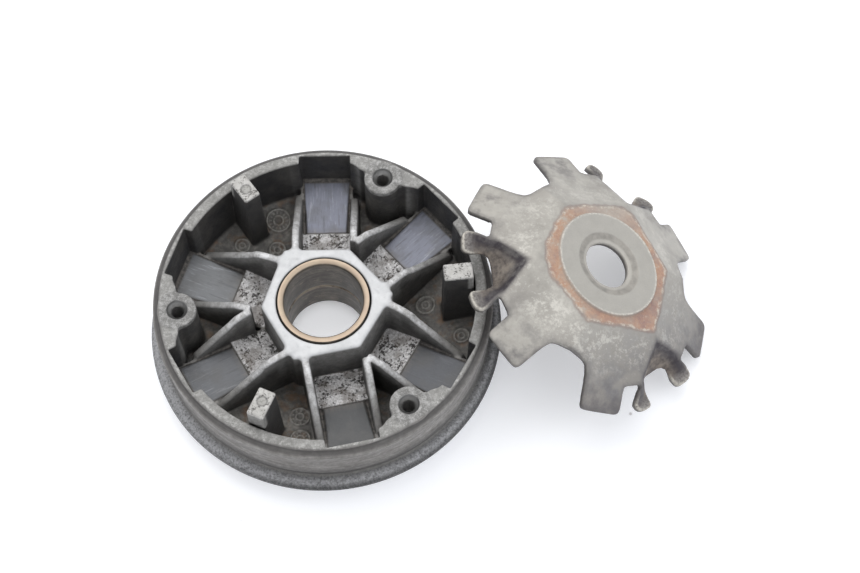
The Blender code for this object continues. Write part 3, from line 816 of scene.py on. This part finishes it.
def sheave_material():
    m = Nodes("cast_aluminium_used")
    big = m.noise(9.0, 5, 0.6)
    mid = m.noise(2.4, 5, 0.62)
    blotch = m.noise(1.5, 4, 0.65)
    fine = m.noise(0.7, 4, 0.7)
    grit = m.noise(0.32, 3, 0.75)
    up = m.ramp(m.normal_z(), 0.2, 0.75)
    along_track = m.combine(m.mul("u", 0.1), "v", big)
    drag = m.noise(0.75, 4, 0.65, vector=along_track)
    turned = m.combine(m.mul("angle", 0.1), "level", "radius")
    bands = m.noise(1.1, 4, 0.6, vector=turned)
    # cast ground
    cast = m.tone(m.mean(mid, 0.6, fine),
                  [(0.3, (0.105, 0.102, 0.098)), (0.5, (0.165, 0.16, 0.152)), (0.72, (0.27, 0.262, 0.25))])
    # oily inner walls and floors, the walls painted darker than the floors as shade
    walls = m.tone(m.mean(big, 0.6, blotch), [(0.32, (0.034, 0.034, 0.036)), (0.5, (0.064, 0.062, 0.06)),
                                              (0.68, (0.11, 0.103, 0.094))])
    m.color = m.mix("deep", cast, walls)
    # painted shade: the inner rim walls, facing sideways, darkened further
    rim_wall_shade = m.mul(m.ramp("radius", 46.5, 48.3), "deep", m.one_minus(up))
    m.coat(rim_wall_shade, m.mottle(big, 0.4, 0.6, (0.026, 0.026, 0.029), (0.058, 0.055, 0.052)), 0.75)
    floor = m.mul("deep", up)
    floorcol = m.tone(m.mean(big, 0.5, blotch), [(0.34, (0.08, 0.077, 0.073)), (0.5, (0.155, 0.148, 0.138)),
                                                 (0.66, (0.29, 0.275, 0.25))])
    m.coat(floor, floorcol, 0.85)
    stain = m.mul(floor, m.spots(5.5, 4, 0.6, 0.5, 0.64))
    m.coat(stain, (0.2, 0.115, 0.06), 0.6)
    # painted shade: the sides of the posts down in the cavity are coloured dark
    m.coat("post_side", m.mottle(mid, 0.35, 0.65, (0.03, 0.03, 0.033), (0.062, 0.059, 0.056)), 0.85)
    flankcol = m.mottle(m.mean(big, 0.5, blotch), 0.36, 0.62, (0.15, 0.147, 0.143), (0.31, 0.307, 0.3))
    m.coat("flank", flankcol, 0.9)
    m.coat(m.mul("mark", m.ramp(blotch, 0.35, 0.6, 0.35, 0.95)), (0.4, 0.385, 0.36))
    # rim top: dull grey with broad bright worn blotches towards its outer edge
    edge = m.ramp("radius", 50.2, 52.2)
    worn = m.mul(m.ramp(m.mean(blotch, 0.65, grit), 0.5, 0.62), m.blend(edge, 0.45, 1.0))
    rimcol = m.tone(m.mean(mid, 0.5, fine), [(0.32, (0.155, 0.152, 0.145)), (0.5, (0.235, 0.231, 0.222)),
                                             (0.7, (0.36, 0.355, 0.345))])
    m.coat("rim", m.over(rimcol, worn, (0.56, 0.555, 0.54), 0.85))
    bosscol = m.mottle(m.mean(blotch, 0.5, grit), 0.45, 0.62, (0.155, 0.152, 0.147), (0.42, 0.415, 0.41))
    m.coat("boss", bosscol, 0.9)
    # outer wall, turned, brownish, with darker bands
    wallcol = m.tone(m.mean(bands, 0.55, blotch),
                     [(0.3, (0.105, 0.098, 0.092)), (0.5, (0.205, 0.195, 0.186)),
                      (0.72, (0.36, 0.35, 0.335))])
    groove = m.mul(m.ramp("level", 18.5, 14.5), 0.8)
    wallcol = m.over(wallcol, groove, (0.056, 0.054, 0.055))
    # painted shadow: a dark line under the small step near the top of the wall
    line = m.band("level", 30.2, 30.8, 31.2, 31.7)
    m.coat("wall", m.over(wallcol, line, (0.055, 0.052, 0.052), 0.8))
    # flange: dark grainy edge below a bright rubbed lip
    flcol = m.mottle(m.mean(grit, 0.45, fine), 0.44, 0.62, (0.05, 0.05, 0.052), (0.15, 0.149, 0.152))
    lip = m.band("level", 10.6, 11.4, 12.1, 12.7)
    flcol = m.over(flcol, m.mul(lip, m.ramp(m.mean(blotch, 0.5, fine), 0.38, 0.62, 0.15, 0.9)),
                   (0.36, 0.36, 0.37))
    # painted light: the left part of the flange made brighter, as if lit from that side
    left = m.band("angle", 125, 175, 215, 262)
    m.coat("flange", m.over(flcol, m.mul(left, m.ramp(fine, 0.36, 0.6, 0.1, 0.85)), (0.36, 0.36, 0.37)))
    # rough pale cast patch beside the hub, pitted with black
    pits = m.ramp(m.mean(m.noise(0.9, 4, 0.75), 0.55, m.noise(3.6, 4, 0.6)), 0.43, 0.49)
    palecol = m.mix(pits, (0.055, 0.05, 0.048),
                    m.mottle(fine, 0.38, 0.62, (0.5, 0.485, 0.48), (0.86, 0.85, 0.86)))
    m.coat("pale", m.over(palecol, m.spots(5.0, 3, 0.5, 0.52, 0.64), (0.16, 0.135, 0.115), 0.55))
    # tracks slid smooth by the rollers, streaked along their length, and the darker gutters beside them
    # painted reflection: each track is made paler and bluer by its place round the sheave, with bright
    # streaks where it is palest; the dark streaks and spots are its own marks
    pale_track = m.mix("blue", (0.205, 0.212, 0.208), (0.235, 0.247, 0.305))
    dark_track = m.mix("blue", (0.068, 0.069, 0.07), (0.084, 0.089, 0.104))
    track = m.mix("shade", dark_track, pale_track)
    track = m.over(track, m.ramp(drag, 0.44, 0.3), (0.08, 0.08, 0.084), 0.55)
    track = m.over(track, m.mul(m.ramp(drag, 0.58, 0.7), m.mul("shade", 0.6)), (0.44, 0.45, 0.49))
    track = m.over(track, m.spots(7.0, 4, 0.55, 0.46, 0.64), (0.105, 0.103, 0.102), 0.42)
    worn_end = m.mul(m.ramp("u", 33.6, 31.4), m.ramp(drag, 0.3, 0.62))
    track = m.over(track, worn_end, (0.14, 0.125, 0.115), 0.6)
    m.coat("slid", track)
    m.coat("gutter", m.mottle(blotch, 0.4, 0.62, (0.045, 0.042, 0.04), (0.135, 0.122, 0.11)))
    # bright hub face, rib tops rubbed bright near the hub and dull further out
    hubcol = m.mottle(m.mean(big, 0.6, mid), 0.34, 0.6, (0.47, 0.475, 0.485), (0.59, 0.595, 0.605))
    m.coat("hub", m.over(hubcol, m.spots(1.1, 5, 0.8, 0.58, 0.68), (0.33, 0.33, 0.335), 0.45))
    m.coat("rib", m.mottle(m.mean(mid, 0.6, fine), 0.4, 0.6, (0.3, 0.295, 0.29), (0.62, 0.62, 0.63)))
    m.coat(m.mul("rib_low", m.ramp(mid, 0.35, 0.6, 0.35, 0.85)), (0.3, 0.29, 0.278))
    # post tops: near-white with black pits and a round pin mark
    specks = m.ramp(m.mean(m.noise(0.55, 4, 0.7), 0.55, blotch), 0.425, 0.475)
    postcol = m.mix(specks, (0.1, 0.095, 0.09),
                    m.mottle(mid, 0.3, 0.7, (0.33, 0.322, 0.305), (0.5, 0.49, 0.475)))
    pin = m.attr("pin")
    ring = m.band(pin, 1.15, 1.45, 1.65, 1.95)
    postcol = m.over(postcol, m.ramp(pin, 1.6, 1.3), (0.27, 0.265, 0.25), 0.7)
    m.coat("post", m.over(postcol, m.mul(ring, m.ramp(fine, 0.35, 0.6, 0.9, 0.4)), (0.085, 0.082, 0.08)))
    m.coat("hole", m.mottle("level", 29.5, 31.6, (0.42, 0.415, 0.41), (0.24, 0.238, 0.235)))
    streak = m.noise(1.3, 4, 0.6, vector=turned)
    m.coat("belt", m.mottle(streak, 0.35, 0.7, (0.42, 0.42, 0.43), (0.62, 0.62, 0.63)))
    # painted shade: corners and recesses found by ambient occlusion are darkened
    ao = m.node("AmbientOcclusion", {"Distance": 0.0035}, samples=6).outputs["AO"]
    ao = m.ramp(ao, 0.25, 0.85)
    corner_shade = m.mul(m.one_minus(ao), 0.5, m.one_minus("hole"))
    m.coat(corner_shade, (0.02, 0.019, 0.018))
    bright = m.most("hub", "rib")
    clean = m.most(m.most(bright, "slid"), m.most("post", "belt"))
    metallic = m.blend(m.most("hole", m.mul("slid", 0.5)), 0.15, 0.85)
    rough = m.blend(clean, m.ramp(mid, 0.3, 0.7, 0.46, 0.68), m.ramp(fine, 0.3, 0.7, 0.36, 0.5))
    rough = m.blend("hole", rough, 0.28)
    height = m.mean(fine, 0.55, grit)
    bump = m.bump(height, m.blend(clean, 0.5, 0.16), 0.00022)
    bump = m.bump(blotch, m.blend("pale", m.blend(clean, 0.35, 0.06), 0.9), 0.0004, bump)
    return m.finish(metallic, rough, bump)


def plate_material():
    m = Nodes("stamped_steel_used")
    big = m.noise(12.0, 5, 0.6)
    mid = m.noise(3.2, 5, 0.65)
    fine = m.noise(0.8, 4, 0.7)
    grit = m.noise(0.35, 3, 0.7)
    along = m.attr("along")
    radius = m.attr("radius")
    pressed = m.attr("pressed")
    m.color = m.tone(m.mean(big, 0.5, mid), [(0.3, (0.275, 0.261, 0.238)), (0.5, (0.375, 0.358, 0.328)),
                                             (0.72, (0.475, 0.455, 0.418))])
    m.coat(m.ramp(grit, 0.4, 0.3), (0.2, 0.19, 0.18), 0.25)
    # the lower side is darker, browner and blotched
    low = m.attr("low")
    shade = m.mul(m.ramp(low, 0.2, 0.92), m.ramp(m.mean(mid, 0.5, big), 0.38, 0.58, 0.45, 0.9))
    m.coat(shade, m.mottle(mid, 0.4, 0.6, (0.135, 0.122, 0.118), (0.15, 0.148, 0.158)))
    # off-white flecks outside the disc, most of them on the left
    zone = m.band(along, 21.5, 25.0, 29.0, 38.0)
    dust = m.mean(m.noise(1.3, 5, 0.8), 0.62, m.noise(6.0, 3, 0.55))
    fleck = m.mul(zone, m.ramp(dust, 0.5, 0.58), m.blend("left", 0.45, 1.0))
    m.coat(fleck, (0.66, 0.64, 0.59), 0.62)
    # dark smudges where the rollers ran
    smudge = m.mul(m.ramp(along, 29.0, 41.0), m.spots(6.5, 5, 0.62, 0.47, 0.66))
    m.coat(smudge, (0.115, 0.108, 0.112), 0.74)
    # darker still at the ends of the ramps towards the lower side
    darker_lower_ends = m.mul(m.ramp(along, 38.5, 44.0), m.ramp(low, 0.35, 0.8),
                  m.ramp(mid, 0.36, 0.56, 0.35, 1.0))
    m.coat(darker_lower_ends, (0.105, 0.095, 0.098), 0.62)
    grime = m.mul(m.ramp("across", 5.0, 9.5), m.ramp(along, 26.0, 31.0))
    m.coat(m.mul(grime, m.ramp(mid, 0.35, 0.65)), (0.17, 0.155, 0.145), 0.45)
    border = m.mul(m.ramp("edge", 1.5, 0.2), m.spots(4.0, 4, 0.6, 0.36, 0.6, 0.15, 0.75))
    m.coat(border, (0.12, 0.113, 0.112))
    # ears: painted shade with dark smudges in the creases up the walls, brown stained floors, rubbed horns
    crease = m.band(pressed, 0.05, 1.5, 3.4, 6.2)
    m.coat(m.mul(crease, m.spots(3.0, 4, 0.6, 0.3, 0.55, 0.7, 1.0)), (0.04, 0.034, 0.04))
    floor = m.mul(m.ramp(pressed, 2.6, 5.2), m.ramp("ear_u", 43.5, 41.0))
    m.coat(floor, m.mix(m.spots(2.4, 5, 0.65, 0.4, 0.64), (0.058, 0.044, 0.04), (0.2, 0.168, 0.138)), 0.88)
    horn = m.ramp("ear_u", 40.5, 43.5)
    m.coat(horn, m.mottle(fine, 0.35, 0.6, (0.15, 0.135, 0.125), (0.38, 0.36, 0.335)), 0.7)
    rubbed = m.mul(m.ramp("ear_u", 39.5, 42.0), m.ramp("edge", 0.95, 0.3))
    m.coat(m.mul(rubbed, m.ramp(fine, 0.32, 0.56, 0.2, 0.8)), (0.56, 0.53, 0.47))
    # rust ring between the disc and the ramps, with a dark outline
    room = m.add("room", m.mul(m.add(m.noise(4.0, 4, 0.6), -0.5), 2.6))
    ring = m.mul(m.ramp(radius, 17.9, 18.6), m.ramp(room, -0.2, 1.3))
    line = m.mul(m.ramp(radius, 18.6, 19.8), m.band(room, -0.5, 0.2, 0.4, 1.3))
    patches = m.mean(m.noise(4.6, 5, 0.65), 0.6, m.noise(13.0, 3, 0.5))
    rustcol = m.tone(m.mean(patches, 0.75, fine),
                     [(0.36, (0.25, 0.165, 0.155)), (0.46, (0.36, 0.228, 0.175)),
                      (0.53, (0.43, 0.272, 0.19)), (0.6, (0.415, 0.345, 0.29)),
                      (0.7, (0.43, 0.41, 0.375))])
    rustcol = m.over(rustcol, m.spots(1.0, 4, 0.75, 0.6, 0.68), (0.62, 0.59, 0.51), 0.55)
    rustcol = m.over(rustcol, m.ramp(low, 0.25, 0.75, 0.0, 0.35), (0.25, 0.17, 0.165))
    cover = m.mul("rusty", m.spots(6.0, 4, 0.6, 0.32, 0.54, 0.6, 1.0))
    m.coat(m.mul(ring, cover), rustcol)
    m.coat(m.mul(line, m.ramp(mid, 0.35, 0.6, 0.2, 0.6)), (0.19, 0.145, 0.135))
    crust = m.mul(m.ramp(radius, 18.8, 19.6), m.band(room, 0.3, 0.8, 1.1, 1.7))
    m.coat(m.mul(crust, m.spots(2.2, 5, 0.7, 0.46, 0.58, 0.0, 0.75)), (0.56, 0.51, 0.44))
    # clamped disc: even and cleaner, with a darker countersink and a lighter lip round the hole
    disc = m.ramp(radius, 18.1, 17.7)
    m.coat(disc, m.mottle(m.mean(mid, 0.5, grit), 0.3, 0.7, (0.355, 0.34, 0.312), (0.435, 0.418, 0.385)))
    # painted highlight: a pale band along the raised edge of the disc
    disc_edge_highlight = m.band(radius, 17.3, 17.8, 17.9, 18.3)
    m.coat(m.mul(disc_edge_highlight, m.ramp(fine, 0.45, 0.6, 0.2, 0.8)), (0.66, 0.63, 0.57))
    sink = m.ramp(radius, 11.4, 10.9)
    m.coat(sink, m.mottle(mid, 0.35, 0.65, (0.2, 0.188, 0.17), (0.33, 0.31, 0.28)), 0.75)
    lip = m.mul(m.ramp(radius, 9.3, 8.7), "upper")
    m.coat(lip, m.mix(mid, (0.36, 0.34, 0.31), (0.52, 0.5, 0.46)), 0.8)
    # painted shade: the underside and the cut edges of the plate coloured dark
    under = m.mul(m.one_minus("upper"), 0.85)
    m.coat(under, m.mix(mid, (0.04, 0.037, 0.038), (0.14, 0.13, 0.125)))
    metallic = m.blend(m.mul(ring, 0.9), 0.35, 0.05)
    rough = m.blend(ring, m.ramp(mid, 0.3, 0.7, 0.42, 0.6), 0.85)
    bump = m.bump(m.mean(fine, 0.5, grit), m.blend(ring, 0.3, 0.9), 0.00018)
    bump = m.bump(big, 0.25, 0.0008, bump)
    return m.finish(metallic, rough, bump)


def bronze_material():
    m = Nodes("bronze_bush")
    up = m.ramp(m.normal_z(), 0.45, 0.9)
    fine = m.noise(0.5, 4, 0.7)
    mid = m.noise(2.5, 4, 0.6)
    big = m.noise(11.0, 4, 0.55)
    rings = m.noise(1.2, 4, 0.6, vector=m.coords((120.0, 120.0, 1400.0)))
    face = m.mottle(m.mean(mid, 0.5, big), 0.35, 0.65, (0.4, 0.305, 0.235), (0.475, 0.385, 0.285))
    face = m.over(face, m.spots(1.4, 5, 0.75, 0.6, 0.68), (0.25, 0.2, 0.165), 0.45)
    # painted shade: the bore wall, which faces sideways, is coloured far darker than the upward end face
    wall = m.tone(m.add(m.mul(rings, 0.4), m.add(m.mul(mid, 0.25), m.mul(big, 0.35))),
                  [(0.36, (0.04, 0.035, 0.031)), (0.5, (0.1, 0.088, 0.076)),
                   (0.64, (0.215, 0.192, 0.162))])
    smear = m.ramp(m.noise(1.6, 5, 0.8, vector=m.coords((420.0, 420.0, 1500.0))), 0.58, 0.66)
    wall = m.over(wall, smear, (0.4, 0.335, 0.27), 0.7)
    wall = m.over(wall, m.spots(4.0, 5, 0.7, 0.56, 0.7), (0.05, 0.044, 0.04), 0.7)
    m.color = m.mix(up, wall, face)
    m.coat(m.mul("seam", m.ramp(mid, 0.38, 0.55, 0.25, 0.95)), (0.52, 0.45, 0.37))
    rough = m.blend(up, 0.4, 0.36)
    bump = m.bump(m.mean(fine, 0.4, rings), 0.25, 0.0001)
    return m.finish(0.45, rough, bump)


def ground_steel_material():
    m = Nodes("ground_steel")
    rings = m.noise(0.6, 3, 0.6, vector=m.coords((60.0, 60.0, 2500.0)))
    mid = m.noise(5.0, 5, 0.6)
    fine = m.noise(0.6, 4, 0.7)
    m.color = m.mottle(mid, 0.35, 0.7, (0.44, 0.435, 0.43), (0.62, 0.615, 0.61))
    m.coat(m.spots(7.0, 5, 0.7, 0.55, 0.7), (0.3, 0.27, 0.23), 0.5)
    rough = m.ramp(m.mean(rings, 0.6, mid), 0.3, 0.7, 0.34, 0.5)
    bump = m.bump(m.mean(rings, 0.7, fine), 0.2, 0.00006)
    return m.finish(1.0, rough, bump)


def polymer_material(name, low, high, spec):
    m = Nodes(name)
    mid = m.noise(3.0, 5, 0.6)
    fine = m.noise(0.5, 4, 0.7)
    m.color = m.mottle(mid, 0.35, 0.7, low, high)
    m.coat(m.spots(1.3, 6, 0.75, 0.56, 0.68), spec, 0.5)
    rough = m.ramp(m.mean(mid, 0.5, fine), 0.3, 0.7, 0.36, 0.58)
    bump = m.bump(m.mean(fine, 0.6, mid), 0.22, 0.00012)
    return m.finish(0.0, rough, bump)


def brass_material():
    m = Nodes("turned_weight")
    tc = m.coords()
    rings = m.noise(0.5, 3, 0.6, vector=tc)
    mid = m.noise(2.5, 5, 0.6)
    m.color = m.mottle(mid, 0.35, 0.7, (0.5, 0.37, 0.17), (0.68, 0.54, 0.3))
    m.coat(m.spots(1.5, 5, 0.7, 0.55, 0.7), (0.16, 0.11, 0.06), 0.5)
    rough = m.ramp(rings, 0.3, 0.7, 0.25, 0.45)
    return m.finish(1.0, rough, m.bump(rings, 0.25, 0.0001))


def bench_material():
    m = Nodes("bench_top")
    big = m.noise(160.0, 3, 0.5)
    mid = m.noise(20.0, 4, 0.6)
    m.color = m.mottle(big, 0.3, 0.7, (0.83, 0.84, 0.87), (0.87, 0.875, 0.89))
    scr = m.noise(2.0, 2, 0.5, vector=m.coords((40.0, 900.0, 1.0), (0, 0, 0.5)))
    m.coat(m.ramp(scr, 0.7, 0.74), (0.55, 0.5, 0.46), 0.12)
    dots = m.node("TexVoronoi", {"Vector": m.coords(), "Scale": 1.0 / 34.0}).outputs["Distance"]
    m.coat(m.ramp(dots, 0.03, 0.018), (0.25, 0.22, 0.2), 0.55)
    rough = m.ramp(mid, 0.3, 0.7, 0.42, 0.55)
    return m.finish(0.0, rough, m.bump(mid, 0.04, 0.0003), Emission_Color=m.color, Emission_Strength=0.3)


# -------- assembly
def give(obj, mat, body, node):
    obj.data.materials.append(mat)
    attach(obj, body)
    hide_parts(node)


def build_object():
    give(build_sheave(0.3), sheave_material(), "sheave", "movable_sheave")
    bronze = bronze_material()
    for node in ("upper_bush", "lower_bush"):
        give(build_bush(node, float(node == "lower_bush")), bronze, "sheave", node)
    give(build_plate(0.3), plate_material(), "cam_plate", "ramp_plate")
    give(build_drive_boss(), ground_steel_material(), "crank_boss", "drive_boss")
    tyre_material = polymer_material("roller_polyamide", (0.03, 0.03, 0.033), (0.06, 0.06, 0.064),
                                     (0.16, 0.155, 0.15))
    shoe_material = polymer_material("shoe_polyamide", (0.045, 0.038, 0.03), (0.085, 0.072, 0.058),
                                     (0.2, 0.18, 0.15))
    weight_material = brass_material()
    for i in range(1, 7):
        tyre, weight = build_roller(i)
        give(tyre, tyre_material, f"roller_{i}", f"roller_{i}_sleeve")
        give(weight, weight_material, f"roller_{i}", f"roller_{i}_core")
    for i in range(1, 4):
        give(build_slide(i), shoe_material, "crank_boss", f"slide_piece_{i}")


def build_bench():
    half = 3000.0
    corners = [(-half, -half, 0.0), (half, -half, 0.0), (half, half, 0.0), (-half, half, 0.0)]
    bench = quad_mesh("bench", corners, np.array([[0, 1, 2, 3]]))
    bench.data.materials.append(bench_material())
    bench.location.z = -0.0002


def area_light(name, location, target, size, power, color):
    """Round soft light; places are metres from the foot of the bore."""
    data = bpy.data.lights.new(name, "AREA")
    data.shape = "DISK"
    data.size = size
    data.energy = power
    data.color = color
    light = link(name, data)
    light.location = Vector(location) + BORE_AXIS * MM
    light.rotation_euler = (Vector(target) - Vector(location)).to_track_quat("-Z", "Y").to_euler()


def bore_spot(height, radius, power):
    """Narrow light straight down the bore, which brightens only the bench inside it."""
    data = bpy.data.lights.new("bore_spot", "SPOT")
    data.energy = power
    data.spot_size = 2 * math.atan(radius / height)
    data.spot_blend = 0.2
    data.shadow_soft_size = 0.002
    link("bore_spot", data).location = (BORE_AXIS + Vector((0, 0, height))) * MM


def build_light():
    """Pale room, a little darker low down, with a warm key and a cool fill."""
    world = bpy.data.worlds.new("studio")
    bpy.context.scene.world = world
    world.use_nodes = True
    tree = world.node_tree
    coords = tree.nodes.new("ShaderNodeTexCoord")
    split = tree.nodes.new("ShaderNodeSeparateXYZ")
    tree.links.new(coords.outputs["Generated"], split.inputs[0])
    gradient = tree.nodes.new("ShaderNodeValToRGB")
    low, high = gradient.color_ramp.elements
    low.color = (0.62, 0.64, 0.67, 1)
    high.color = (1.0, 1.0, 1.0, 1)
    tree.links.new(split.outputs[2], gradient.inputs[0])
    tree.links.new(gradient.outputs[0], tree.nodes["Background"].inputs[0])
    middle = (0.03, 0, 0)
    area_light("key", (-0.25, 0.75, 1.15), middle, size=1.6, power=9.0, color=(1.0, 0.99, 0.97))
    area_light("fill", (0.9, -0.35, 0.95), middle, size=1.4, power=4.0, color=(0.94, 0.97, 1.0))
    bore_spot(height=600.0, radius=12.3, power=3.5)


def build_camera():
    """Long lens looking down on the sheave from the front."""
    from_bore = Vector((0.03359, -0.22493, 0.51158))
    look_down, pan = 64.59, -0.11
    data = bpy.data.cameras.new("camera")
    data.sensor_width = 36.0
    data.lens = 69.88
    data.clip_start = 0.01
    camera = link("camera", data)
    camera.location = BORE_AXIS * MM + from_bore
    camera.rotation_euler = (rad(90 - look_down), 0.0, rad(pan))
    bpy.context.scene.camera = camera


build_object()
build_bench()
build_light()
build_camera()
bpy.context.scene.view_settings.view_transform = "Standard"
